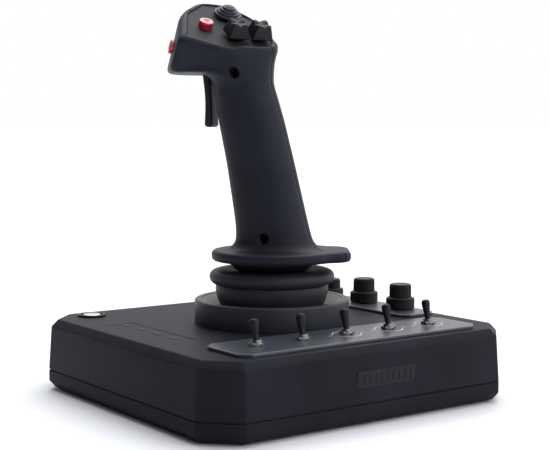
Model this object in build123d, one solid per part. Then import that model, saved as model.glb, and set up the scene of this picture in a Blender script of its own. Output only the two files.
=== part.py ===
"""Desktop flight joystick: octagonal base, two-axis gimbal, rubber boot and a leaning hand grip."""
from build123d import *
from math import sqrt, sin, cos, radians
import os

os.makedirs("parts", exist_ok=True)

# ---------------------------------------------------------------- base box
BASE_W = 210.0          # across the front face
BASE_D = 200.0          # front to rear
CORNER = 18.0           # 45 degree corner cut
FOOT_H = 1.2            # rubber feet below the pan
SEAM_Z = 11.8           # joint between pan and upper shell
WALL_TOP_Z = 37.8       # where the top chamfer starts
TOP_Z = 42.0            # flat top face
DRAFT = 1.6             # inward lean of the side walls, seam to chamfer
CHAMFER_IN = 3.8        # inset of the top chamfer
WALL = 3.0              # shell wall
PAN_CHAMFER_IN = 3.5    # chamfer round the pan's lower edge
PAN_CHAMFER_H = 4.3
FLOOR_T = 2.5           # pan floor
GROOVE = 0.6            # shadow groove at the seam
FLOOR_Z = FOOT_H + FLOOR_T
POSTS = (92.0, 78.0)    # screw posts, half spacing
FEET = (76.0, 70.0)     # feet, half spacing
FOOT_R = 7.0
DESK_HOLES = (70.0, 45.0)   # threaded holes in the pan, half spacing
DESK_HOLE_R = 2.1
POST_R = 4.5
SCREW_R = 1.25
SCREW_HEAD_R = 2.75
OPENING_R = 27.5        # hole in the top for the gimbal

# ---------------------------------------------------------------- controls on the base
PANEL_T = 1.8
TOGGLE_Y = -70.0
TOGGLE_PITCH = 30.0
TOGGLE_COUNT = 5
TOGGLE_LEAN = 12.0
TOGGLE_TRAVEL = 24.0
BUSH_R = 3.05
BUSH_TOP = 3.2          # bushing above the panel
TOGGLE_PIVOT = 1.0      # lever pivot above the panel
KNOB_X = 86.0
KNOB_Y = (-16.5, 18.5, 53.5)
KNOB_H = (15.2, 15.2, 11.5)
SKIRT_R = 8.8
SKIRT_H = 7.0
CAP_R = 6.9
SHAFT_R = 3.0
RUN = 0.05              # running clearance of a shaft in its hole
MODE_XY = (-77.0, 80.0)
MODE_BEZEL_R = 8.6
MODE_R = 5.5
LENS_X = -78.3
LENS_Y = (-17.6, 0.1, 17.8, 35.5)

NAMEPLATE_W = 40.0
NAMEPLATE_IN = 1.5
NAMEPLATE_C = (4.0, -BASE_D / 2)
NAMEPLATE_Z = (20.0, 29.5)
NOTCH_Y = (29.0, -64.0)  # notches in the left lower edge

# ---------------------------------------------------------------- gimbal
PIVOT_Z = 46.0
TOWER_IN = 17.0
TOWER_OUT = 21.5
TOWER_R = 7.0
STUB_R = 3.0
AXLE_R = 2.5
BEARING_R = 5.0
YOKE = (30.0, 28.0, 12.0)
YOKE_HOLE = (20.0, 21.0)
HUB = (19.0, 16.0, 14.0)
SHAFT_OUT = 7.0
SHAFT_IN = 4.0
SHAFT_TOP = 118.0
TAIL_R = 4.0
SEAT_R = 11.5
SEAT_Z = 27.0
SPRING_R = 9.5
WIRE_R = 0.8
COLLAR_R = 45.5
RIM_IN = 41.0
RIM_Z = 56.0
SLEEVE_R = 29.5
BOOT_T = 1.3
NECK_TOP_R = 25.5
NECK_LOW_R = 20.5

# ---------------------------------------------------------------- grip, in its own turned frame
GRIP_YAW = 30.0
FLANGE_Z = 78.4
FLANGE_T = 6.2
FLANGE_R = 38.0
FLANGE_C = (0.5, -2.6)
GRIP_WALL = 3.0
# height, forward offset, half width, half length
HANDLE = (
    (80.5, -2.6, 23.0, 28.0),
    (88.0, -1.9, 17.8, 22.8),
    (100.0, 0.0, 16.6, 21.6),
    (135.0, 7.2, 15.6, 20.2),
    (160.0, 13.2, 15.2, 19.6),
    (189.0, 19.9, 14.6, 17.0),
    (195.0, 20.7, 14.2, 16.4),
)
HEAD_Z = 187.5
FACE_O = (1.4, 28.6, 213.9)
FACE_N = (-0.317, -0.395, 0.862)
FACE_X = (0.939, 0.0, 0.345)
HEAD_TOP = ((-36, 15.5), (-28.5, -16), (-7.5, -34), (6.5, -32), (28, -7.5), (32, 16.5), (20, 31), (-3, 31.5))
HEAD_LOW = ((-31.5, 50.5), (-17.5, 19), (-6, 3.5), (6, 3.5), (19, 24), (27, 56.5), (15, 69), (-4, 68.5))
HEAD_CORNER = 5.0
RIM_BEVEL = 3.0         # bevel round the face, both ways
RIM_IN_W = 5.2          # rim width outside the face plate
RIM_UP = 0.8            # rim above the face plate
PLATE_T = 2.6
RED_UV = (-9.6, 10.9)
TRIM_UV = (14.9, 8.1)
HAT_UV = ((-7.8, -8.0), (2.6, -18.6))
HAT_TURN = -45.5
HAT_W = 13.2
HAT_H = 8.5
HAT_GAP = 1.9
TRIM_R = 8.5
TRIM_STEP = 1.3         # height of each step of the round hat
BALL_R = 2.0
BALL_W = -6.0           # hat pivot below the face
BUTTON_R = 4.3
SIDE_W = 14.0           # side button's centre below the rim, along the wall
PIN = (39.5, 191.5)     # trigger pivot, forward and up
PIN_R = 1.5
TRIGGER_W = 11.0
GRIP_SCREWS = ((16.6, 187.5), (-2.5, 92.0))
GRIP_HEAD_R = 2.6
GRIP_SCREW_R = 1.4

FACE = Plane(origin=FACE_O, x_dir=FACE_X, z_dir=FACE_N)


def save(shape, name):
    export_step(shape, "parts/" + name + ".step")


def turned(shape):
    return Rot(0, 0, GRIP_YAW) * shape


def octagon(inset, z):
    """Octagonal outline of the base, moved in by inset, at height z."""
    w = BASE_W / 2 - inset
    d = BASE_D / 2 - inset
    c = CORNER - inset * (2 - sqrt(2))
    pts = [(-w, -d + c), (-w + c, -d), (w - c, -d), (w, -d + c), (w, d - c), (w - c, d), (-w + c, d), (-w, d - c)]
    return Pos(0, 0, z) * make_face(Polyline(*pts, close=True))


def clipped(w, d, cut, h):
    """Plate w by d by h with its four corners clipped, standing on its base plane."""
    a, b = w / 2, d / 2
    pts = [(-a, -b + cut), (-a + cut, -b), (a - cut, -b), (a, -b + cut), (a, b - cut), (a - cut, b), (-a + cut, b),
           (-a, b - cut)]
    return extrude(make_face(Polyline(*pts, close=True)), h)


def rod(r, z0, z1, x=0.0, y=0.0):
    return Pos(x, y, (z0 + z1) / 2) * Cylinder(r, z1 - z0)


def block(x, y, z0, z1, w, d):
    return Pos(x, y, (z0 + z1) / 2) * Box(w, d, z1 - z0)


def corners(half):
    return [(sx * half[0], sy * half[1]) for sx in (-1, 1) for sy in (-1, 1)]


def toggle_xs():
    return [(i - (TOGGLE_COUNT - 1) / 2) * TOGGLE_PITCH for i in range(TOGGLE_COUNT)]


def ring(points):
    """Solid of revolution of a closed radius-height outline."""
    return revolve(make_face(Polyline(*[(r, 0, z) for r, z in points], close=True)), Axis.Z)


def skin(points, t):
    """Revolved sheet of thickness t whose outer side follows the radius-height points."""
    inner = []
    for i, (r, z) in enumerate(points):
        r0, z0 = points[max(i - 1, 0)]
        r1, z1 = points[min(i + 1, len(points) - 1)]
        dr, dz = r1 - r0, z1 - z0
        n = sqrt(dr * dr + dz * dz)
        inner.append((r - t * dz / n, z + t * dr / n))
    return ring(list(points) + inner[::-1])


# ---------------------------------------------------------------- base body
def base_upper_shell():
    body = loft([octagon(0, SEAM_Z), octagon(DRAFT, WALL_TOP_Z)], ruled=True)
    body += loft([octagon(DRAFT, WALL_TOP_Z), octagon(DRAFT + CHAMFER_IN, TOP_Z)], ruled=True)
    body -= loft([octagon(WALL, SEAM_Z), octagon(WALL + DRAFT + 1, TOP_Z - WALL)], ruled=True)
    body -= extrude(octagon(-1, SEAM_Z), 0.8) - extrude(octagon(GROOVE, SEAM_Z), 0.8)
    for x, y in corners(POSTS):
        body += rod(POST_R, SEAM_Z + 1.2, TOP_Z - WALL, x, y)
        body -= rod(SCREW_R, SEAM_Z, SEAM_Z + 14, x, y)
    body -= rod(OPENING_R, TOP_Z - WALL - 1, TOP_Z + 1)
    body -= block(0, TOGGLE_Y, TOP_Z - WALL - 1, TOP_Z + 1, (TOGGLE_COUNT - 1) * TOGGLE_PITCH + 22, 20)
    body -= block(KNOB_X - 1, KNOB_Y[1], TOP_Z - WALL - 1, TOP_Z + 1, 16, 90)
    body -= rod(MODE_BEZEL_R - 1.6, TOP_Z - WALL - 1, TOP_Z + 1, *MODE_XY)
    for y in LENS_Y:
        body -= block(LENS_X, y, TOP_Z - WALL - 1, TOP_Z + 1, 2.4, 6.0)
    body -= block(0, BASE_D / 2, 15.3, 19.5, 9.6, 20)
    body -= block(*NAMEPLATE_C, *NAMEPLATE_Z, NAMEPLATE_W, 2 * NAMEPLATE_IN)
    return body


def nameplate():
    y = -BASE_D / 2 + NAMEPLATE_IN - 0.4
    z0, z1 = NAMEPLATE_Z
    plate = block(NAMEPLATE_C[0], y, z0, z1, NAMEPLATE_W, 0.8)
    for i in range(9):
        x = NAMEPLATE_C[0] + (i - 4) * 4.0
        plate -= Pos(x, y - 0.4, (z0 + z1) / 2) * Box(1.2, 0.4, 5.0)
    return plate


def base_lower_pan():
    body = loft([octagon(PAN_CHAMFER_IN, FOOT_H), octagon(0, FOOT_H + PAN_CHAMFER_H)], ruled=True)
    body += extrude(octagon(0, FOOT_H + PAN_CHAMFER_H), SEAM_Z - FOOT_H - PAN_CHAMFER_H)
    body -= extrude(octagon(4.5, FLOOR_Z), SEAM_Z)
    body += extrude(octagon(3.5, SEAM_Z - 3), 6) - extrude(octagon(4.6, SEAM_Z - 3), 6)
    for x, y in corners(POSTS):
        body -= rod(POST_R + 0.4, SEAM_Z, SEAM_Z + 4, x, y)
        body += rod(POST_R, FOOT_H, SEAM_Z + 1.2, x, y)
        body -= rod(SCREW_R + 0.4, 0, SEAM_Z + 2, x, y)
        body -= rod(SCREW_HEAD_R + 0.3, 0, FOOT_H + 3.2, x, y)
    for x, y in corners(DESK_HOLES):
        body += rod(5.0, FOOT_H, FLOOR_Z + 4.5, x, y)
        body -= rod(DESK_HOLE_R, 0, FLOOR_Z + 5, x, y)
    for x, y in corners((34.0, 10.0)):
        body += rod(3.2, FLOOR_Z, 14.0, x, 76 + y)
    for y in NOTCH_Y:
        body -= block(-BASE_W / 2, y, 0, FOOT_H + 1.2, 16, 17)
    return body


def rubber_feet():
    return Compound([rod(FOOT_R, 0, FOOT_H, x, y) for x, y in corners(FEET)])


def pan_screws():
    out = []
    for x, y in corners(POSTS):
        screw = rod(SCREW_HEAD_R, FOOT_H + 0.8, FOOT_H + 3.2, x, y) + rod(SCREW_R, FOOT_H + 3.2, SEAM_Z + 13, x, y)
        out.append(screw - rod(1.4, 0, FOOT_H + 2.2, x, y))
    return Compound(out)


def ballast_plate():
    plate = block(0, -62, FLOOR_Z, FLOOR_Z + 5, 112, 46)
    return plate - rod(3, 0, 20, -40, -62) - rod(3, 0, 20, 40, -62)


def main_board():
    board = block(0, 78, 14.0, 15.6, 84, 34)
    board += block(-18, 76, 15.6, 17.2, 12, 12)
    board += block(16, 72, 15.6, 18.6, 16, 6)
    return board


def usb_socket():
    body = block(0, 93.2, 15.6, 19.2, 9.0, 8.0)
    return body - block(0, 95, 16.3, 18.5, 7.4, 6.0)


def toggle_panel():
    plate = Pos(0, TOGGLE_Y - 0.5, TOP_Z) * clipped(164, 39, 6, PANEL_T)
    for x in toggle_xs():
        plate -= rod(BUSH_R, TOP_Z - 1, TOP_Z + 5, x, TOGGLE_Y)
    return plate


def toggle_cases():
    out = []
    z = TOP_Z + PANEL_T
    for x in toggle_xs():
        case = block(x, TOGGLE_Y, TOP_Z - 10, TOP_Z, 8, 13) + rod(BUSH_R, TOP_Z, z + BUSH_TOP, x, TOGGLE_Y)
        for i in (-1, 0, 1):
            case += block(x, TOGGLE_Y + 4 * i, TOP_Z - 13.5, TOP_Z - 10, 2, 0.8)
        out.append(case - rod(2.2, z - 1.4, z + 9, x, TOGGLE_Y))
    return Compound(out)


def toggle_nuts():
    z = TOP_Z + PANEL_T
    out = []
    for x in toggle_xs():
        nut = extrude(Pos(x, TOGGLE_Y, z) * RegularPolygon(4.3, 6), 1.8)
        out.append(nut - rod(BUSH_R, z - 1, z + 4, x, TOGGLE_Y))
    return Compound(out)


def toggle_lever(x):
    """Bat lever with a ball at its pivot; it leans to the rear at rest."""
    lever = Sphere(2.2 - RUN) + Pos(0, 0, 4) * Cone(1.45, 1.75, 8)
    lever += Pos(0, 0, 8.2) * Cone(1.9, 2.45, 5.2) + Pos(0, 0, 10.6) * Sphere(2.45)
    return Pos(x, TOGGLE_Y, TOP_Z + PANEL_T + TOGGLE_PIVOT) * Rot(-TOGGLE_LEAN, 0, 0) * lever


def knob_panel():
    plate = Pos(83, 17, TOP_Z) * clipped(27, 112, 5, PANEL_T)
    for y in KNOB_Y:
        plate -= rod(3.6, TOP_Z - 1, TOP_Z + 5, KNOB_X, y)
    return plate


def encoder_bodies():
    out = []
    for y in KNOB_Y:
        body = block(KNOB_X, y, TOP_Z - 7, TOP_Z, 12, 12) + rod(3.6, TOP_Z, TOP_Z + PANEL_T + 1.4, KNOB_X, y)
        out.append(body - rod(SHAFT_R + RUN, TOP_Z - 5, TOP_Z + 8, KNOB_X, y))
    return Compound(out)


def knob(y, h):
    """Stepped knob on its own shaft, with a pointer dot on the skirt."""
    z = TOP_Z + PANEL_T + 0.5
    body = rod(SKIRT_R, z, z + SKIRT_H * h / KNOB_H[0], KNOB_X, y)
    body = chamfer(body.edges().group_by(Axis.Z)[-1], 0.8)
    cap = rod(CAP_R, z + 1, z + h, KNOB_X, y)
    cap = fillet(cap.edges().group_by(Axis.Z)[-1], 0.8)
    body += cap
    body -= rod(4.4, z - 1, z + 2.5, KNOB_X, y)
    body += rod(SHAFT_R, TOP_Z - 4, z + 3, KNOB_X, y)
    return body


def mode_bezel():
    x, y = MODE_XY
    body = rod(MODE_BEZEL_R, TOP_Z, TOP_Z + 1.2, x, y) + rod(MODE_BEZEL_R - 1.6, TOP_Z - 12, TOP_Z, x, y)
    body -= rod(MODE_BEZEL_R - 2.0, TOP_Z - 0.6, TOP_Z + 2, x, y)
    return body - rod(MODE_R + RUN, TOP_Z - 10, TOP_Z + 2, x, y)


def mode_button():
    x, y = MODE_XY
    body = rod(MODE_R, TOP_Z - 7, TOP_Z + 1.2, x, y)
    return fillet(body.edges().group_by(Axis.Z)[-1], 0.7)


def indicator_lenses():
    return Compound([block(LENS_X, y, TOP_Z - WALL, TOP_Z + 0.2, 2.4, 6.0) for y in LENS_Y])


def collar():
    z = TOP_Z
    return ring([(COLLAR_R, z), (COLLAR_R, RIM_Z - 1.4), (COLLAR_R - 1.4, RIM_Z), (RIM_IN, RIM_Z), (31.5, 49.5),
                 (SLEEVE_R, 48.6), (SLEEVE_R, z), (SLEEVE_R + 2.5, z), (SLEEVE_R + 2.5, 47.2), (41.6, 53.2),
                 (42.6, 53.2), (42.6, z)])


def gimbal_frame():
    body = block(0, 0, FLOOR_Z, FLOOR_Z + 3, 52, 52)
    for s in (-1, 1):
        mid = s * (TOWER_IN + TOWER_OUT) / 2
        body += block(0, mid, FLOOR_Z, PIVOT_Z, 2 * TOWER_R, TOWER_OUT - TOWER_IN)
        body += Pos(0, mid, PIVOT_Z) * Rot(90, 0, 0) * Cylinder(TOWER_R, TOWER_OUT - TOWER_IN)
        body += block(0, s * (TOWER_OUT + 1), FLOOR_Z, 28, 4, 4)
        body -= Pos(0, mid, PIVOT_Z) * Rot(90, 0, 0) * Cylinder(BEARING_R, 12)
    body -= rod(5.0, 0, 20)
    return body


def tube(r_out, r_in, length, at, turn):
    return Pos(*at) * turn * (Cylinder(r_out, length) - Cylinder(r_in, length + 2))


def roll_bearings():
    t = TOWER_OUT - TOWER_IN
    mid = TOWER_IN + t / 2
    return Compound([tube(BEARING_R, STUB_R + RUN, t, (0, s * mid, PIVOT_Z), Rot(90, 0, 0)) for s in (-1, 1)])


def roll_sensor():
    return block(0, -24.2, 38, 51, 8, 1.2) + block(0, -24.2, 33, 38, 8, 1.2) + block(0, -23.2, 31, 35, 6, 1.2)


def boot_lower():
    pts = [(28.9, TOP_Z), (28.9, 46.5), (29.4, 49.5), (30.6, 52.5), (31.8, 55.5), (32.8, 58.8), (33.2, 61.8), (32.9, 64.2)]
    return skin(pts, BOOT_T)


def centring_spring():
    z0 = FLOOR_Z + 3 + WIRE_R
    height = SEAT_Z - WIRE_R - z0
    path = Pos(0, 0, z0) * Helix(pitch=height / 6, height=height, radius=SPRING_R)
    start = path @ 0
    face = Plane(origin=start, z_dir=path % 0) * Circle(WIRE_R)
    return sweep(face, path=path)


# ---------------------------------------------------------------- yoke body
def yoke():
    body = Pos(0, 0, PIVOT_Z) * Box(*YOKE)
    body -= Pos(0, 0, PIVOT_Z) * Box(*YOKE_HOLE, YOKE[2] + 2)
    for s in (-1, 1):
        length = TOWER_OUT + 0.2 - YOKE[1] / 2
        body += Pos(0, s * (YOKE[1] / 2 + length / 2), PIVOT_Z) * Rot(90, 0, 0) * Cylinder(STUB_R, length)
        body += Pos(YOKE[0] / 2 + 1.1, s * 7.2, PIVOT_Z) * Rot(0, 90, 0) * Cylinder(1.0, 2.2)
    body -= Pos(0, 0, PIVOT_Z) * Rot(0, 90, 0) * Cylinder(BEARING_R - 1, YOKE[0] + 1)
    return body


def pitch_bearings():
    t = (YOKE[0] - YOKE_HOLE[0]) / 2
    mid = YOKE_HOLE[0] / 2 + t / 2
    return Compound([tube(BEARING_R - 1, AXLE_R + RUN, t, (s * mid, 0, PIVOT_Z), Rot(0, 90, 0)) for s in (-1, 1)])


def roll_magnet():
    return Pos(0, -TOWER_OUT - 0.2 - 0.6, PIVOT_Z) * Rot(90, 0, 0) * Cylinder(2.5, 1.2)


def pitch_sensor():
    return Pos(YOKE[0] / 2 + 2.7, 0, PIVOT_Z) * Box(1.0, 18, 11)


# ---------------------------------------------------------------- stick body
def stick_shaft():
    body = Pos(0, 0, PIVOT_Z) * Box(*HUB)
    body += rod(SHAFT_OUT, PIVOT_Z, SHAFT_TOP) + rod(TAIL_R, 24, PIVOT_Z)
    body -= rod(SHAFT_IN, PIVOT_Z + 9, SHAFT_TOP + 1)
    body -= Pos(0, 0, PIVOT_Z) * Rot(0, 90, 0) * Cylinder(AXLE_R, 40)
    y, z = GRIP_SCREWS[1]
    return body - turned(Pos(0, y, z) * Rot(0, 90, 0) * Cylinder(GRIP_SCREW_R + 0.3, 40))


def pitch_axle():
    return Pos(0, 0, PIVOT_Z) * Rot(0, 90, 0) * Cylinder(AXLE_R, YOKE[0] + 0.4)


def pitch_magnet():
    return Pos(YOKE[0] / 2 + 0.8, 0, PIVOT_Z) * Rot(0, 90, 0) * Cylinder(2.2, 1.2)


def spring_seat():
    return rod(SEAT_R, SEAT_Z, SEAT_Z + 3) - rod(TAIL_R, SEAT_Z - 1, SEAT_Z + 4)


def lock_collar():
    return ring([(SHAFT_OUT, 66), (18.2, 66), (18.2, 70.5), (NECK_LOW_R, 72.5), (NECK_TOP_R, FLANGE_Z - 1.5),
                 (NECK_TOP_R, FLANGE_Z), (SHAFT_OUT, FLANGE_Z)])


def boot_upper():
    pts = [(32.9, 64.6), (34.8, 65.3), (36.3, 67.0), (36.7, 69.2), (35.9, 71.4), (33.2, 73.0), (28, 73.4),
           (23.5, 72.8), (21.2, 71.6), (19.7, 70.4)]
    return skin(pts, BOOT_T)


def handle_solid(inset):
    cuts = []
    for z, y, a, b in HANDLE:
        cuts.append(Pos(0, y, z) * Ellipse(a - inset, b - inset))
    return loft(cuts)


def outline(inset):
    """Head outline on the tilted face, corners rounded, moved in by inset."""
    flat = fillet(make_face(Polyline(*HEAD_TOP, close=True)).vertices(), HEAD_CORNER)
    return offset(flat, -inset) if inset else flat


def head_solid(inset):
    """Head block between the flat underside and the tilted face, with a bevelled rim when inset is zero."""
    low = fillet(make_face(Polyline(*HEAD_LOW, close=True)).vertices(), HEAD_CORNER)
    if inset:
        low = offset(low, -inset)
        return loft([Pos(0, 0, HEAD_Z) * low, FACE * outline(inset)], ruled=True)
    rim = FACE.location * Pos(0, 0, RIM_UP - RIM_BEVEL) * outline(0)
    top = FACE.location * Pos(0, 0, RIM_UP) * outline(RIM_BEVEL)
    return loft([Pos(0, 0, HEAD_Z) * low, rim], ruled=True) + loft([rim, top], ruled=True)


def flange_solid():
    disc = Pos(FLANGE_C[0], FLANGE_C[1], FLANGE_Z + FLANGE_T / 2) * Cylinder(FLANGE_R, FLANGE_T)
    lobe = RectangleRounded(44, 50, 12)
    lobe = Pos(FLANGE_C[0], FLANGE_C[1], FLANGE_Z) * Rot(0, 0, 24) * Pos(0, -18.4, 0) * lobe
    return disc + extrude(lobe, FLANGE_T)


def slab(z0, z1, x0, x1):
    return Pos((x0 + x1) / 2, 20, (z0 + z1) / 2) * Box(x1 - x0, 200, z1 - z0)


def side_plane():
    """Plane on the front-left end wall of the head, centred on the side button, facing out."""
    a = FACE.from_local_coords(Vector(*HEAD_TOP[0], 0))
    b = FACE.from_local_coords(Vector(*HEAD_TOP[-1], 0))
    low = (Vector(*HEAD_LOW[0], HEAD_Z) + Vector(*HEAD_LOW[-1], HEAD_Z)) * 0.5
    top = (a + b) * 0.5
    down = (low - top).normalized()
    along = (b - a).normalized()
    return Plane(origin=top + down * SIDE_W, x_dir=along, z_dir=along.cross(down))


SIDE = side_plane()


def along_x(r, length, y, z, x=0.0):
    return Pos(x, y, z) * Rot(0, 90, 0) * Cylinder(r, length)


def on_face(shape, uv, w=0.0):
    return FACE.location * Pos(uv[0], uv[1], w) * shape


def face_bore(r, uv):
    return on_face(Cylinder(r, 40), uv)


def grip_shape():
    body = handle_solid(0) + head_solid(0) + flange_solid()
    hollow = handle_solid(GRIP_WALL) & slab(FLANGE_Z + 4, 300, -60, 60)
    hollow -= slab(108, 112, -60, 60)
    inner = head_solid(GRIP_WALL) & slab(HEAD_Z + GRIP_WALL, 300, -60, 60)
    inner -= FACE.location * Pos(0, 0, -PLATE_T - 2.5) * extrude(outline(-6), 30)
    body -= hollow
    body -= inner
    body -= FACE.location * Pos(0, 0, -PLATE_T) * extrude(outline(RIM_IN_W), 20)
    body -= FACE.location * Pos(0, 0, -PLATE_T - 6) * extrude(outline(RIM_IN_W + 2), 20)
    for uv in HAT_UV:
        body -= face_bore(4.6, uv)
    return body


def grip_halves():
    """Both grip shells, with screw posts, the shaft bore, the trigger slot and its pin posts."""
    body = grip_shape()
    for y, z in GRIP_SCREWS:
        body += along_x(4.2, 60, y, z) & handle_solid(0.5)
    body -= rod(SHAFT_OUT, FLANGE_Z - 1, SHAFT_TOP + 1)
    for y, z in GRIP_SCREWS:
        body -= along_x(GRIP_SCREW_R, 24, y, z)
        body -= along_x(GRIP_HEAD_R + 0.4, 24, y, z, -22)
    body -= block(0, PIN[0] - 0.5, HEAD_Z - 1, HEAD_Z + 6, TRIGGER_W + 1.4, 12.6)
    for s in (-1, 1):
        body += along_x(3.2, 3.0, *PIN, s * (TRIGGER_W / 2 + 2.2))
    body -= along_x(PIN_R, TRIGGER_W + 5, *PIN)
    body -= SIDE.location * Cylinder(BUTTON_R + RUN, 16)
    return turned(body & slab(0, 300, -80, 0)), turned(body & slab(0, 300, 0, 80))


def face_plate():
    plate = FACE.location * Pos(0, 0, -PLATE_T) * extrude(outline(RIM_IN_W), PLATE_T)
    plate -= face_bore(BUTTON_R + RUN, RED_UV)
    plate -= face_bore(5.0, TRIM_UV)
    for uv in HAT_UV:
        plate -= face_bore(4.4, uv)
    return turned(plate)


def grip_screws():
    out = []
    for y, z in GRIP_SCREWS:
        head = along_x(GRIP_HEAD_R, 2.4, y, z, -11.2) - along_x(1.3, 1.6, y, z, -12.0)
        out.append(turned(head + along_x(GRIP_SCREW_R, 21.5, y, z, 0.75)))
    return Compound(out)


def grip_board():
    return turned(Pos(0, 10.8, 150) * Rot(-13, 0, 0) * Box(20, 1.6, 44))


def trigger_pin():
    return turned(along_x(PIN_R, TRIGGER_W + 5, *PIN))


def grip_switches():
    """Small switches behind the trigger, the face button and the side button."""
    out = [turned(block(0, 48.5, 190.5, 196, 12, 6))]
    out.append(turned(on_face(Box(7, 7, 3.5), RED_UV, -9.2)))
    out.append(turned(SIDE.location * Pos(0, 0, -10.2) * Box(7, 7, 3.5)))
    return Compound(out)


def ball_cup(uv, turn):
    post = Pos(0, 0, -9) * Cylinder(3.0, 4) + Pos(0, 0, -12) * Rot(0, 0, turn) * Box(6.6, 6.6, 3)
    return turned(on_face(post - Pos(0, 0, BALL_W) * Sphere(BALL_R + RUN), uv))


def hat_switches():
    return Compound([ball_cup(TRIM_UV, 0)] + [ball_cup(uv, HAT_TURN) for uv in HAT_UV])


def hat_ball(uv):
    return turned(on_face(Sphere(BALL_R), uv, BALL_W))


def trigger():
    """Curved blade hanging from its pin; the front is hollow for the finger."""
    top = PIN[1] - 2.0
    pts = [(43.6, top), (42.2, 180), (41.5, 172), (41.6, 164), (42.2, 156.0), (36.9, 156.6), (37.5, 172),
           (38.2, 184), (37.8, top)]
    blade = extrude(Plane.YZ * make_face(Polyline(*pts, close=True)), TRIGGER_W / 2, both=True)
    blade += along_x(3.4, TRIGGER_W, *PIN)
    return turned(blade - along_x(PIN_R + RUN, TRIGGER_W + 2, *PIN))


def push_button(r, low, high):
    """Round button with an eased rim and a shallow cone sunk in its top."""
    body = Pos(0, 0, (low + high) / 2) * Cylinder(r, high - low)
    body = fillet(body.edges().group_by(Axis.Z)[-1], 0.7)
    return body - Pos(0, 0, high - 0.3) * Cone(0.1, r - 0.8, 1.2)


def face_button():
    return turned(on_face(push_button(BUTTON_R, -5.6, 4.0), RED_UV))


def side_button():
    return turned(SIDE.location * push_button(BUTTON_R, -6.6, 2.6))


def hat_stem(r):
    stem = Pos(0, 0, BALL_W / 2 + 1.5) * Cylinder(r, 4 - BALL_W - 0.8)
    return stem - Pos(0, 0, BALL_W) * Sphere(BALL_R + RUN)


def trim_hat():
    """Round hat stepped like a low ziggurat with a domed top."""
    body = hat_stem(3.4)
    for i in range(4):
        body += Pos(0, 0, 2.0 + TRIM_STEP * i) * Cylinder(TRIM_R - 1.55 * i, TRIM_STEP)
    body += Pos(0, 0, 1.9 + 3.5 * TRIM_STEP) * Cone(3.2, 1.4, 1.2)
    return turned(on_face(body, TRIM_UV))


def castle_hat(uv):
    """Square hat with four corner posts left by two crossed V grooves."""
    low = Pos(0, 0, HAT_GAP) * Rectangle(HAT_W, HAT_W)
    high = Pos(0, 0, HAT_GAP + HAT_H) * Rectangle(HAT_W - 4.6, HAT_W - 4.6)
    body = loft([low, high], ruled=True)
    top = HAT_GAP + HAT_H
    vee = make_face(Polyline((-4.2, top + 0.7), (4.2, top + 0.7), (0, top - 1.4), close=True))
    for turn in (0, 90):
        body -= Rot(0, 0, turn) * extrude(Plane.XZ * vee, HAT_W, both=True)
    body = Rot(0, 0, HAT_TURN) * body + hat_stem(3.0)
    return turned(on_face(body, uv))


def build():
    left, right = grip_halves()
    parts = {
        "base_upper_shell": base_upper_shell(), "base_lower_pan": base_lower_pan(), "rubber_feet": rubber_feet(),
        "pan_screws": pan_screws(), "ballast_plate": ballast_plate(), "main_board": main_board(),
        "usb_socket": usb_socket(), "nameplate": nameplate(), "toggle_panel": toggle_panel(),
        "toggle_cases": toggle_cases(), "toggle_nuts": toggle_nuts(), "knob_panel": knob_panel(),
        "encoder_bodies": encoder_bodies(), "mode_bezel": mode_bezel(), "mode_button": mode_button(),
        "indicator_lenses": indicator_lenses(), "collar": collar(), "gimbal_frame": gimbal_frame(),
        "roll_bearings": roll_bearings(), "roll_sensor": roll_sensor(), "boot_lower": boot_lower(),
        "centring_spring": centring_spring(), "yoke": yoke(), "pitch_bearings": pitch_bearings(),
        "roll_magnet": roll_magnet(), "pitch_sensor": pitch_sensor(), "stick_shaft": stick_shaft(),
        "pitch_axle": pitch_axle(), "pitch_magnet": pitch_magnet(), "spring_seat": spring_seat(),
        "lock_collar": lock_collar(), "boot_upper": boot_upper(), "grip_shell_left": left,
        "grip_shell_right": right, "face_plate": face_plate(), "grip_screws": grip_screws(),
        "grip_board": grip_board(), "trigger_pin": trigger_pin(), "grip_switches": grip_switches(),
        "hat_switches": hat_switches(), "trigger": trigger(), "face_button": face_button(),
        "side_button": side_button(), "trim_hat": trim_hat(), "trim_ball": hat_ball(TRIM_UV),
    }
    for i, x in enumerate(toggle_xs()):
        parts["toggle_lever_%d" % (i + 1)] = toggle_lever(x)
    for i, y in enumerate(KNOB_Y):
        parts["knob_%d" % (i + 1)] = knob(y, KNOB_H[i])
    for name, uv in zip(("fore_hat", "aft_hat"), HAT_UV):
        parts[name] = castle_hat(uv)
        parts[name.replace("hat", "ball")] = hat_ball(uv)
    return parts


if __name__ == "__main__":
    for part_name, shape in build().items():
        save(shape, part_name)
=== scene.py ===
# %% [markdown]
# # A desktop flight joystick
# The real thing is a heavy octagonal base with a rubber-booted gimbal and a grip that leans forward. The
# moving parts come from an exact model, which is loaded first as a fixed frame. Each step below then
# makes one piece or one finish, and hangs it on the body that carries it.

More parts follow.
